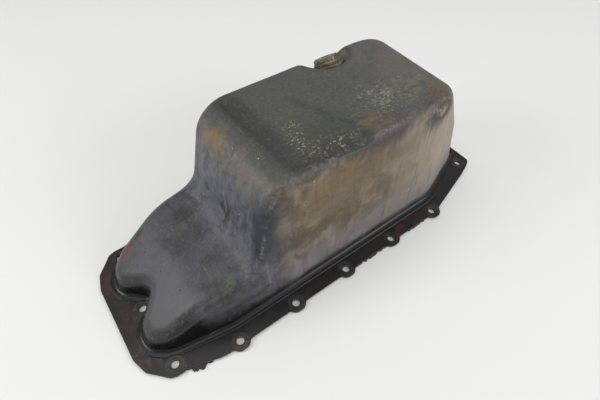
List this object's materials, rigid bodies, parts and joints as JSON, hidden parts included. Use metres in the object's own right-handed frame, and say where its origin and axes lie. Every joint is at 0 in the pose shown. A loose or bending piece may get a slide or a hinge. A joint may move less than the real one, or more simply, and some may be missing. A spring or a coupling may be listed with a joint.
{
  "type": "engine oil pan",
  "caption": "Pressed steel engine oil pan, flange down: shallow two-toed front, deep rear sump, threaded drain plug in a pocket of the sump's edge, remains of the old gasket.",
  "frame": {"origin": "on the gasket face, midway between the middle pair of side bolts", "axes": "+X along the engine from the shallow front to the deep sump, +Z out through the sump floor, which is downwards when fitted"},
  "size_m": [0.426, 0.1796, 0.154],
  "materials": {
    "pan_steel": "worn black enamel on pressed steel, stained and dusty",
    "boss_steel": "turned steel, darkened by oil",
    "washer_metal": "crushed sealing washer, dull",
    "plug_steel": "plated steel, worn and oil-stained",
    "gasket": "old hard gasket, torn edge"
  },
  "bodies": {
    "pan": {"oil_pan": "pan_steel", "drain_boss": "boss_steel", "old_gasket": "gasket"},
    "washer": {"drain_washer": "washer_metal"},
    "plug": {"drain_plug": "plug_steel"}
  },
  "joints": [
    {"name": "plug_lift", "type": "slide", "parent": "pan", "child": "washer", "axis": [0, 0.5736, 0.8192], "range_m": [0, 0.0136]},
    {"name": "plug_turn", "type": "hinge", "parent": "washer", "child": "plug", "pos_m": [0.069, 0.0465, 0.13904], "axis": [0, 0.5736, 0.8192], "range_deg": [0, 3240]}
  ],
  "couplings": [
    {"joint": "plug_lift", "follows": "plug_turn", "m_per_rad": 0.00023873}
  ]
}
